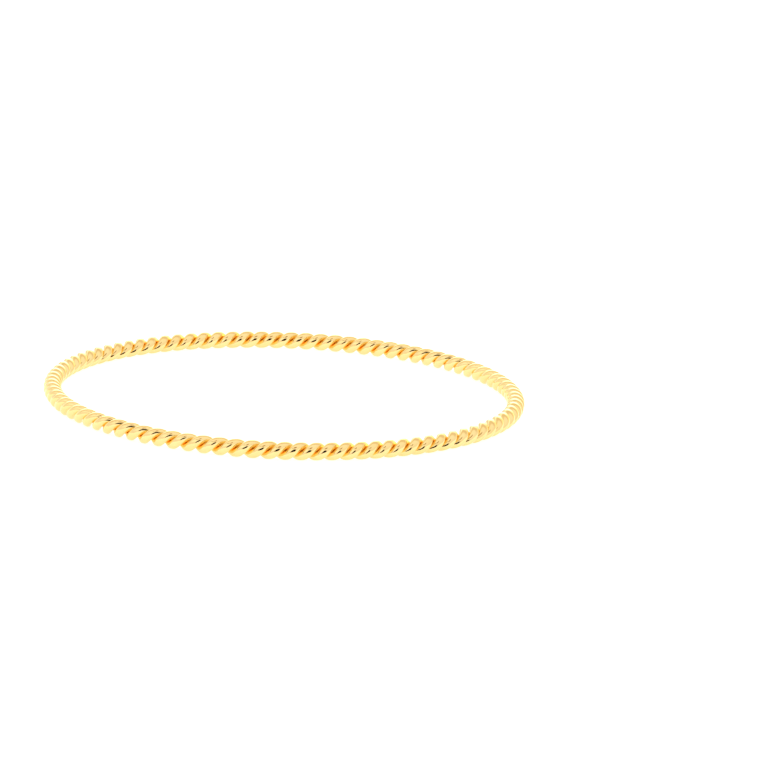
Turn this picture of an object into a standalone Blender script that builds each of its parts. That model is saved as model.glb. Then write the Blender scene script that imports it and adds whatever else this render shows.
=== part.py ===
"""Rope bangle: two round gold wires twisted together into a closed ring.

The ring lies on its side.  The origin is on the surface it rests on, in the
middle of the wrist hollow, and +Z is the ring's axis.  Metres.
"""
import bmesh
import bpy
import math
from mathutils import Vector

# ---- driving dimensions ------------------------------------------------------
RING_RADIUS = 0.0340       # middle of the wrist hollow to the rope's centreline
WIRE_DIAMETER = 0.00132    # each of the two wires
LAY_RADIUS = 0.00067       # rope's centreline to the centre of a wire
TURNS = 47                 # full turns of twist round the closed ring
REST_FLAT = 0.00003        # how far the lowest edges are rubbed down to the surface

# The lay of a hand-twisted rope is a little uneven.  These slow waves are the
# amounts, in radians, by which the twist runs ahead of an even one or behind it.
LAY_START = 2.803
LAY_WAVES = (
    # waves round the ring, ahead at the front, ahead a quarter wave on
    (1, -0.288, -0.614),
    (2, -0.240, -0.013),
    (3, -0.179, 0.175),
    (4, -0.123, 0.164),
    (5, -0.088, 0.038),
    (6, -0.076, -0.122),
)

RINGS_PER_TURN = 8         # facets along a wire for each turn of twist

# Half of a wire's faceted section, as shares of its radius.  One flat faces out
# of the rope, and the other faces the second wire, clear of it.
SECTION_HALF = (
    # away, across
    (1.00, 0.40),          # outer flat
    (0.10, 0.98),          # widest corner
    (-0.70, 0.42),         # inner flat
)

GOLD_COLOUR = (0.92, 0.66, 0.26, 1.0)
GOLD_ROUGHNESS = 0.14

# ---- sizes that follow from them ---------------------------------------------
WIRE_RADIUS = WIRE_DIAMETER / 2
SECTION = SECTION_HALF + tuple((away, -across) for away, across in reversed(SECTION_HALF))
ROPE_HEIGHT = LAY_RADIUS + SECTION_HALF[0][0] * WIRE_RADIUS - REST_FLAT


def twist_at(s):
    """Turn of the rope's cross-section at the angle s round the ring."""
    front = s + math.pi / 2
    ahead = sum(at_front * math.cos(waves * front) + after * math.sin(waves * front)
                for waves, at_front, after in LAY_WAVES)
    return TURNS * s + LAY_START + ahead


def angle_of_twist(target):
    """The angle s round the ring at which the twist reaches the target."""
    s = (target - LAY_START) / TURNS
    for _ in range(30):
        s += (target - twist_at(s)) / TURNS
    return s


def frame_on_ring(s):
    """Centre of the rope at s, with the outward and the forward directions."""
    outward = Vector((math.cos(s), math.sin(s), 0.0))
    forward = Vector((-math.sin(s), math.cos(s), 0.0))
    centre = outward * RING_RADIUS + Vector((0.0, 0.0, ROPE_HEIGHT))
    return centre, outward, forward


def wire_centre(s, lead):
    """Centre of a wire, and the direction from the rope's centreline to it."""
    centre, outward, _ = frame_on_ring(s)
    turn = twist_at(s) + lead
    away = outward * math.cos(turn) + Vector((0.0, 0.0, math.sin(turn)))
    return centre + away * LAY_RADIUS, away


def wire_direction(s, lead):
    step = 1e-4
    ahead, _ = wire_centre(s + step, lead)
    behind, _ = wire_centre(s - step, lead)
    return (ahead - behind).normalized()


def section_points(s, lead):
    """Corners of a wire's section, square to the wire, a flat facing outwards."""
    centre, away = wire_centre(s, lead)
    along = wire_direction(s, lead)
    across = along.cross(away).normalized()
    away = across.cross(along).normalized()
    return [centre + (away * out + across * side) * WIRE_RADIUS for out, side in SECTION]


def make_wire(name, lead, material):
    """One wire: a closed helical tube, left-handed, with flats where it rests."""
    bm = bmesh.new()
    rings = []
    lowest = -math.pi / 2 - lead
    first = math.ceil((LAY_START - lowest) / (2 * math.pi))
    for k in range(TURNS * RINGS_PER_TURN):
        target = lowest + 2 * math.pi * (first + k / RINGS_PER_TURN)
        s = angle_of_twist(target)
        rings.append([bm.verts.new(p) for p in section_points(s, lead)])
    for k, ring in enumerate(rings):
        ahead = rings[(k + 1) % len(rings)]
        for corner in range(len(SECTION)):
            after = (corner + 1) % len(SECTION)
            bm.faces.new((ring[corner], ring[after], ahead[after], ahead[corner]))
    bmesh.ops.recalc_face_normals(bm, faces=bm.faces[:])
    if bm.calc_volume(signed=True) < 0:
        bmesh.ops.reverse_faces(bm, faces=bm.faces[:])

    # Rub the underside down to the surface, and close each small cut flat.
    bmesh.ops.triangulate(bm, faces=bm.faces[:])
    geometry = bm.verts[:] + bm.edges[:] + bm.faces[:]
    bmesh.ops.bisect_plane(bm, geom=geometry, dist=1e-8, plane_co=(0, 0, 0),
                           plane_no=(0, 0, 1), clear_inner=True)
    rim = [edge for edge in bm.edges if edge.is_boundary]
    bmesh.ops.holes_fill(bm, edges=rim, sides=0)
    bmesh.ops.recalc_face_normals(bm, faces=bm.faces[:])

    mesh = bpy.data.meshes.new(name)
    bm.to_mesh(mesh)
    bm.free()
    mesh.shade_smooth()
    mesh.set_sharp_from_angle(angle=math.radians(75))
    mesh.materials.append(material)
    return bpy.data.objects.new(name, mesh)


def make_gold(name):
    material = bpy.data.materials.new(name)
    material.use_nodes = True
    shader = material.node_tree.nodes["Principled BSDF"]
    shader.inputs["Base Color"].default_value = GOLD_COLOUR
    shader.inputs["Metallic"].default_value = 1.0
    shader.inputs["Roughness"].default_value = GOLD_ROUGHNESS
    return material


def main():
    for old in list(bpy.data.objects):
        bpy.data.objects.remove(old, do_unlink=True)
    collection = bpy.context.scene.collection

    bangle = bpy.data.objects.new("bangle", None)
    bangle.empty_display_size = 0.01
    collection.objects.link(bangle)

    wires = (("wire_strand_a", 0.0), ("wire_strand_b", math.pi))
    for name, lead in wires:
        wire = make_wire(name, lead, make_gold(name + "_gold"))
        collection.objects.link(wire)
        wire.parent = bangle


main()
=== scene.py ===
"""Looks of the rope bangle: two round polished gold wires twisted into a ring.

The fine wires follow the same lay as the construction, in metres, with +Z up.
"""
import math

import bpy
import numpy as np
from mathutils import Matrix, Vector


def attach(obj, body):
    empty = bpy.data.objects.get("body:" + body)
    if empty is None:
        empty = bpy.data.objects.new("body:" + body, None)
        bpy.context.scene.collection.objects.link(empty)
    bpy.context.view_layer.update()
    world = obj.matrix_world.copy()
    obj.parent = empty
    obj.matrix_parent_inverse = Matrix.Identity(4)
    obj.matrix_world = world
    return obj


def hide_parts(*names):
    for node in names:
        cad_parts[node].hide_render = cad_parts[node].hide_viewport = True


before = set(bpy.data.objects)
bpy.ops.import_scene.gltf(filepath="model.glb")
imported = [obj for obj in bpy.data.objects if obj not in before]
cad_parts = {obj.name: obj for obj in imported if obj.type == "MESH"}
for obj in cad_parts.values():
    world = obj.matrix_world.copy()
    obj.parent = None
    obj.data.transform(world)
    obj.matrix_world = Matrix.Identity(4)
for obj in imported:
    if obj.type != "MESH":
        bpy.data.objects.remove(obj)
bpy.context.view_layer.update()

# ---- sizes -------------------------------------------------------------------
RING_RADIUS = 0.0340
ROPE_HEIGHT = 0.00130      # the rope's centreline above the surface it rests on
WIRE_RADIUS = 0.000682     # round, rubbed outside, and pressed against the other wire
LAY_RADIUS = 0.000666
SEAM_HALF = 0.000002       # half of the fine seam where the wires are pressed together
CROWN_RUB = 0.072          # share of the radius rubbed off the outermost line of a wire
TURNS = 47

# The slow waves, in radians, by which the lay runs ahead of an even one.
LAY_START = 2.803
LAY_WAVES = (
    # waves round the ring, ahead at the front, ahead a quarter wave on
    (1, -0.288, -0.614),
    (2, -0.240, -0.013),
    (3, -0.179, 0.175),
    (4, -0.123, 0.164),
    (5, -0.088, 0.038),
    (6, -0.076, -0.122),
)

# ---- fineness of the shown wires ---------------------------------------------
RINGS_PER_TURN = 56
SIDES = 24


def twist_at(s):
    front = s + math.pi / 2
    twist = TURNS * s + LAY_START
    for waves, at_front, after in LAY_WAVES:
        twist = twist + at_front * np.cos(waves * front) + after * np.sin(waves * front)
    return twist


def angle_of_twist(target):
    s = (target - LAY_START) / TURNS
    for _ in range(30):
        s = s + (target - twist_at(s)) / TURNS
    return s


def wire_path(s, lead):
    """Centres of a wire at the angles s, and the directions out of the rope."""
    turn = twist_at(s) + lead
    outward = np.stack([np.cos(s), np.sin(s), 0 * s], axis=1)
    upward = np.array([0.0, 0.0, 1.0])
    away = outward * np.cos(turn)[:, None] + upward * np.sin(turn)[:, None]
    centre = outward * RING_RADIUS + upward * ROPE_HEIGHT
    return centre + away * LAY_RADIUS, away


def unit(v):
    return v / np.linalg.norm(v, axis=-1, keepdims=True)


def pressed(points, lead):
    """Points of a wire, stopped at the seam halfway between it and the other one."""
    s = np.arctan2(points[..., 1], points[..., 0])
    outward = np.hypot(points[..., 0], points[..., 1]) - RING_RADIUS
    upward = points[..., 2] - ROPE_HEIGHT
    turn = twist_at(s) + lead
    out = np.maximum(outward * np.cos(turn) + upward * np.sin(turn), SEAM_HALF)
    side = upward * np.cos(turn) - outward * np.sin(turn)
    radius = RING_RADIUS + out * np.cos(turn) - side * np.sin(turn)
    height = ROPE_HEIGHT + out * np.sin(turn) + side * np.cos(turn)
    return np.stack([radius * np.cos(s), radius * np.sin(s), height], axis=-1)


def make_wire(name, lead, material):
    """A wire as a closed tube. Two attributes go with it for its material: how
    far each point faces out of the rope, and its place along and round the wire."""
    rings = TURNS * RINGS_PER_TURN
    first = twist_at(np.array([math.pi / 2]))[0]
    s = angle_of_twist(first + 2 * math.pi * np.arange(rings) / RINGS_PER_TURN)
    centre, away = wire_path(s, lead)
    step = 1e-4
    along = unit(wire_path(s + step, lead)[0] - wire_path(s - step, lead)[0])
    across = unit(np.cross(along, away))
    away = unit(np.cross(across, along))

    q = 2 * math.pi * np.arange(SIDES) / SIDES
    out, side = np.cos(q), np.sin(q)
    reach = out - CROWN_RUB * np.maximum(out, 0.0) ** 8
    offset = reach[None, :, None] * away[:, None] + side[None, :, None] * across[:, None]
    points = pressed(centre[:, None] + offset * WIRE_RADIUS, lead)
    points[:, :, 2] = np.maximum(points[:, :, 2], 0.0)

    i = np.arange(rings)[:, None]
    j = np.arange(SIDES)[None, :]
    i2, j2 = (i + 1) % rings, (j + 1) % SIDES
    faces = np.stack([i * SIDES + j, i * SIDES + j2, i2 * SIDES + j2, i2 * SIDES + j], axis=-1)

    mesh = bpy.data.meshes.new(name)
    mesh.from_pydata(points.reshape(-1, 3).tolist(), [], faces.reshape(-1, 4).tolist())
    mesh.update()
    mesh.shade_smooth()
    mesh.materials.append(material)

    crown = np.broadcast_to(out[None, :], (rings, SIDES)).astype(np.float32)
    mesh.attributes.new("crown", "FLOAT", "POINT").data.foreach_set("value", crown.ravel())
    length = np.concatenate([[0.0], np.cumsum(np.linalg.norm(np.diff(centre, axis=0), axis=1))])
    place = np.stack([
        np.broadcast_to(length[:, None], (rings, SIDES)),
        np.broadcast_to(out[None, :] * WIRE_RADIUS, (rings, SIDES)),
        np.broadcast_to(side[None, :] * WIRE_RADIUS, (rings, SIDES)),
    ], axis=-1).astype(np.float32)
    mesh.attributes.new("place", "FLOAT_VECTOR", "POINT").data.foreach_set("vector", place.ravel())

    wire = bpy.data.objects.new(name, mesh)
    bpy.context.scene.collection.objects.link(wire)
    return wire


# ---- node helpers ------------------------------------------------------------
def node(tree, kind, **values):
    made = tree.nodes.new(kind)
    for key, value in values.items():
        setattr(made, key, value)
    return made


def math_node(tree, operation, a, b=None, clamp=False):
    made = node(tree, "ShaderNodeMath", operation=operation, use_clamp=clamp)
    for socket, value in zip(made.inputs, (a, b)):
        if value is None:
            continue
        if isinstance(value, (int, float)):
            socket.default_value = value
        else:
            tree.links.new(value, socket)
    return made.outputs[0]


def map_range(tree, value, from_low, from_high, to_low, to_high, smooth=True):
    made = node(tree, "ShaderNodeMapRange",
                interpolation_type="SMOOTHSTEP" if smooth else "LINEAR")
    tree.links.new(value, made.inputs["Value"])
    for key, number in (("From Min", from_low), ("From Max", from_high),
                        ("To Min", to_low), ("To Max", to_high)):
        made.inputs[key].default_value = number
    return made.outputs["Result"]


def noise(tree, vector, scale, detail=2.0, roughness=0.5, distortion=0.0):
    made = node(tree, "ShaderNodeTexNoise")
    tree.links.new(vector, made.inputs["Vector"])
    made.inputs["Scale"].default_value = scale
    made.inputs["Detail"].default_value = detail
    made.inputs["Roughness"].default_value = roughness
    made.inputs["Distortion"].default_value = distortion
    return made.outputs["Fac"]


def mix_colour(tree, factor, a, b, blend="MIX"):
    made = node(tree, "ShaderNodeMix", data_type="RGBA", blend_type=blend)
    for socket, value in ((made.inputs[0], factor), (made.inputs[6], a), (made.inputs[7], b)):
        if isinstance(value, (int, float)):
            socket.default_value = value
        elif isinstance(value, tuple):
            socket.default_value = (*value, 1.0)
        else:
            tree.links.new(value, socket)
    return made.outputs[2]


# ---- polished gold -----------------------------------------------------------
CROWN_GOLD = (1.0, 0.757, 0.340)    # burnished outer faces
GROOVE_SHADE_GOLD = (0.99, 0.735, 0.290)  # painted shade: darker, redder gold for the grooves between the wires


def make_gold(name):
    material = bpy.data.materials.new(name)
    material.use_nodes = True
    tree = material.node_tree
    shader = tree.nodes["Principled BSDF"]
    shader.inputs["Metallic"].default_value = 1.0

    crown = node(tree, "ShaderNodeAttribute", attribute_name="crown").outputs["Fac"]
    place = node(tree, "ShaderNodeAttribute", attribute_name="place").outputs["Vector"]
    where = node(tree, "ShaderNodeTexCoord").outputs["Object"]

    # Outer faces count as worn, for roughness and scratches; the same mask also places painted shade, a
    # darker, redder gold, in the grooves.
    wear_and_shade = map_range(tree, crown, -0.30, 0.45, 0.0, 1.0)
    cloud = noise(tree, where, 420.0, detail=3.0)
    tint = mix_colour(tree, map_range(tree, cloud, 0.3, 0.7, 0.0, 1.0),
                      (1.0, 1.0, 1.0), (0.985, 0.955, 0.90))
    # Painted shade: the grooves between the wires get the darker, redder gold and the outer faces the
    # lighter one.
    gold = mix_colour(tree, wear_and_shade, GROOVE_SHADE_GOLD, CROWN_GOLD)
    tree.links.new(mix_colour(tree, 1.0, gold, tint, "MULTIPLY"), shader.inputs["Base Color"])

    # Drawn lines run along each wire, and wear scratches cross its outer face.
    stretched = node(tree, "ShaderNodeVectorMath", operation="MULTIPLY")
    tree.links.new(place, stretched.inputs[0])
    stretched.inputs[1].default_value = (900.0, 22000.0, 22000.0)
    drawn = noise(tree, stretched.outputs[0], 1.0, detail=2.0)
    turned = node(tree, "ShaderNodeVectorRotate", rotation_type="EULER_XYZ")
    turned.inputs["Rotation"].default_value = (0.5, 0.9, 0.7)
    tree.links.new(where, turned.inputs["Vector"])
    crossed = node(tree, "ShaderNodeVectorMath", operation="MULTIPLY")
    tree.links.new(turned.outputs[0], crossed.inputs[0])
    crossed.inputs[1].default_value = (1500.0, 26000.0, 9000.0)
    scratch = map_range(tree, noise(tree, crossed.outputs[0], 1.0, detail=1.0, distortion=0.3),
                        0.66, 0.74, 0.0, 1.0)
    scratch = math_node(tree, "MULTIPLY", scratch, wear_and_shade)

    rough = map_range(tree, wear_and_shade, 0.0, 1.0, 0.16, 0.055)
    rough = math_node(tree, "ADD", rough,
                      map_range(tree, noise(tree, where, 900.0, detail=4.0), 0.3, 0.7, -0.015, 0.03))
    rough = math_node(tree, "ADD", rough, math_node(tree, "MULTIPLY", scratch, 0.10))
    tree.links.new(rough, shader.inputs["Roughness"])

    # Slow unevenness of the hand-twisted wire, then the fine marks.
    swell = node(tree, "ShaderNodeBump")
    swell.inputs["Strength"].default_value = 1.0
    swell.inputs["Distance"].default_value = 0.000020
    tree.links.new(noise(tree, where, 1100.0, detail=2.0), swell.inputs["Height"])
    lines = node(tree, "ShaderNodeBump")
    lines.inputs["Strength"].default_value = 1.0
    lines.inputs["Distance"].default_value = 0.0000004
    tree.links.new(drawn, lines.inputs["Height"])
    tree.links.new(swell.outputs[0], lines.inputs["Normal"])
    marks = node(tree, "ShaderNodeBump", invert=True)
    marks.inputs["Strength"].default_value = 1.0
    marks.inputs["Distance"].default_value = 0.0000012
    tree.links.new(scratch, marks.inputs["Height"])
    tree.links.new(lines.outputs[0], marks.inputs["Normal"])
    tree.links.new(marks.outputs[0], shader.inputs["Normal"])
    return material


# ---- camera ------------------------------------------------------------------
CAMERA_PLACE = (0.015616, -0.726109, 0.179450)
CAMERA_PITCH = math.radians(13.711)
CAMERA_ROLL = math.radians(2.537)
CAMERA_LENS = 234.46


def make_camera():
    camera = bpy.data.objects.new("camera", bpy.data.cameras.new("camera"))
    bpy.context.scene.collection.objects.link(camera)
    bpy.context.scene.camera = camera
    camera.data.sensor_width = 36.0
    camera.data.lens = CAMERA_LENS
    camera.data.clip_start = 0.01
    camera.data.clip_end = 50.0
    ahead = Vector((0.0, math.cos(CAMERA_PITCH), -math.sin(CAMERA_PITCH)))
    above = Vector((0.0, math.sin(CAMERA_PITCH), math.cos(CAMERA_PITCH)))
    right = Vector((1.0, 0.0, 0.0))
    rolled_right = right * math.cos(CAMERA_ROLL) + above * math.sin(CAMERA_ROLL)
    rolled_above = above * math.cos(CAMERA_ROLL) - right * math.sin(CAMERA_ROLL)
    matrix = Matrix((rolled_right, rolled_above, -ahead)).transposed().to_4x4()
    matrix.translation = CAMERA_PLACE
    camera.matrix_world = matrix


# ---- pale floor --------------------------------------------------------------
FLOOR_WHITE = 0.50
FLOOR_GLOW = 0.78          # the white sweep is lit from below as well


def make_floor():
    size = 3.0
    mesh = bpy.data.meshes.new("floor")
    mesh.from_pydata([(-size, -size, 0), (size, -size, 0), (size, size, 0), (-size, size, 0)],
                     [], [(0, 1, 2, 3)])
    floor = bpy.data.objects.new("floor", mesh)
    bpy.context.scene.collection.objects.link(floor)
    material = bpy.data.materials.new("floor_white")
    material.use_nodes = True
    tree = material.node_tree
    shader = tree.nodes["Principled BSDF"]
    shader.inputs["Base Color"].default_value = (FLOOR_WHITE, FLOOR_WHITE, FLOOR_WHITE, 1.0)
    shader.inputs["Roughness"].default_value = 0.8
    shader.inputs["Emission Color"].default_value = (1.0, 1.0, 1.0, 1.0)
    shader.inputs["Emission Strength"].default_value = FLOOR_GLOW
    mesh.materials.append(material)


# ---- soft studio light -------------------------------------------------------
DOME_LOW, DOME_HIGH = 0.96, 1.06
# Soft-edged panels on the dome. Angles are degrees round from the camera's side
# towards +X, and up; a size of 1 is half of the way to the dome's horizon; the
# gain multiplies the dome's light in red, green and blue.
PANELS = (
    # angle round, angle up, half width, half height, softness, gain
    (180.0, 2.0, 1.60, 0.70, 0.60, (2.20, 2.20, 2.20)),     # bright backdrop behind
    (-42.0, 37.7, 0.564, 0.159, 0.60, (1.25, 1.25, 1.25)),  # strip light above the camera
    (180.0, 62.0, 1.40, 0.300, 0.60, (0.82, 0.72, 0.58)),   # warm panel high behind
    (3.5, 8.0, 0.410, 0.435, 0.22, (0.24, 0.13, 0.06)),     # dark panel in front, brown at its edge
    (4.0, 8.0, 0.355, 0.400, 0.16, (0.015, 0.01, 0.008)),   # its black middle
    (7.0, 56.5, 0.205, 0.170, 0.36, (0.44, 0.24, 0.10)),    # small brown panel overhead
    (-40.6, 58.3, 0.178, 0.060, 0.50, (0.53, 0.50, 0.40)),  # thin grey panel overhead
    (-148.0, 8.2, 0.343, 0.280, 0.50, (0.42, 0.42, 0.42)),  # grey panel at the left, behind
    (141.0, 5.0, 0.457, 0.587, 0.60, (0.76, 0.62, 0.40)),   # warm panel at the right, behind
)


def panel(tree, direction, round_angle, up_angle, half_width, half_height, softness):
    """1 on an oval panel of the dome, easing to 0 round it."""
    a, e = math.radians(round_angle), math.radians(up_angle)
    middle = Vector((math.sin(a) * math.cos(e), -math.cos(a) * math.cos(e), math.sin(e)))
    right = Vector((math.cos(a), math.sin(a), 0.0))
    above = right.cross(middle)
    along = {}
    for key, axis in (("middle", middle), ("right", right / half_width), ("above", above / half_height)):
        dot = node(tree, "ShaderNodeVectorMath", operation="DOT_PRODUCT")
        tree.links.new(direction, dot.inputs[0])
        dot.inputs[1].default_value = axis
        along[key] = dot.outputs["Value"]
    reach = math_node(tree, "MAXIMUM", along["middle"], 0.02)
    x = math_node(tree, "DIVIDE", along["right"], reach)
    y = math_node(tree, "DIVIDE", along["above"], reach)
    squared = math_node(tree, "ADD", math_node(tree, "MULTIPLY", x, x), math_node(tree, "MULTIPLY", y, y))
    shape = map_range(tree, math_node(tree, "SQRT", squared), 1 - softness, 1 + softness, 1.0, 0.0)
    return math_node(tree, "MULTIPLY", shape, math_node(tree, "GREATER_THAN", along["middle"], 0.02))


def make_light():
    world = bpy.data.worlds.new("studio")
    bpy.context.scene.world = world
    world.use_nodes = True
    tree = world.node_tree
    background = tree.nodes["Background"]
    direction = node(tree, "ShaderNodeTexCoord").outputs["Generated"]
    split = node(tree, "ShaderNodeSeparateXYZ")
    tree.links.new(direction, split.inputs[0])
    level = map_range(tree, split.outputs["Z"], 0.2, 1.0, DOME_LOW, DOME_HIGH)
    light = mix_colour(tree, 1.0, (1.0, 1.0, 1.0), level, "MULTIPLY")
    for *shape, gain in PANELS:
        mask = panel(tree, direction, *shape)
        scale = node(tree, "ShaderNodeMix", data_type="RGBA")
        tree.links.new(mask, scale.inputs[0])
        scale.inputs[6].default_value = (1.0, 1.0, 1.0, 1.0)
        scale.inputs[7].default_value = (*gain, 1.0)
        light = mix_colour(tree, 1.0, light, scale.outputs[2], "MULTIPLY")
    seen = node(tree, "ShaderNodeLightPath").outputs["Is Camera Ray"]
    light = mix_colour(tree, seen, light, (1.6, 1.6, 1.6))
    tree.links.new(light, background.inputs["Color"])
    background.inputs["Strength"].default_value = 1.0


make_camera()
make_floor()
make_light()
gold = make_gold("polished_gold")
for wire_name, cad_node, wire_lead in (
        ("twisted_wire_a", "wire_strand_a", 0.0),
        ("twisted_wire_b", "wire_strand_b", math.pi)):
    shown = make_wire(wire_name, wire_lead, gold)
    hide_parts(cad_node)
    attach(shown, "root")

scene = bpy.context.scene
scene.view_settings.view_transform = "Standard"
scene.cycles.max_bounces = 16
scene.cycles.glossy_bounces = 12
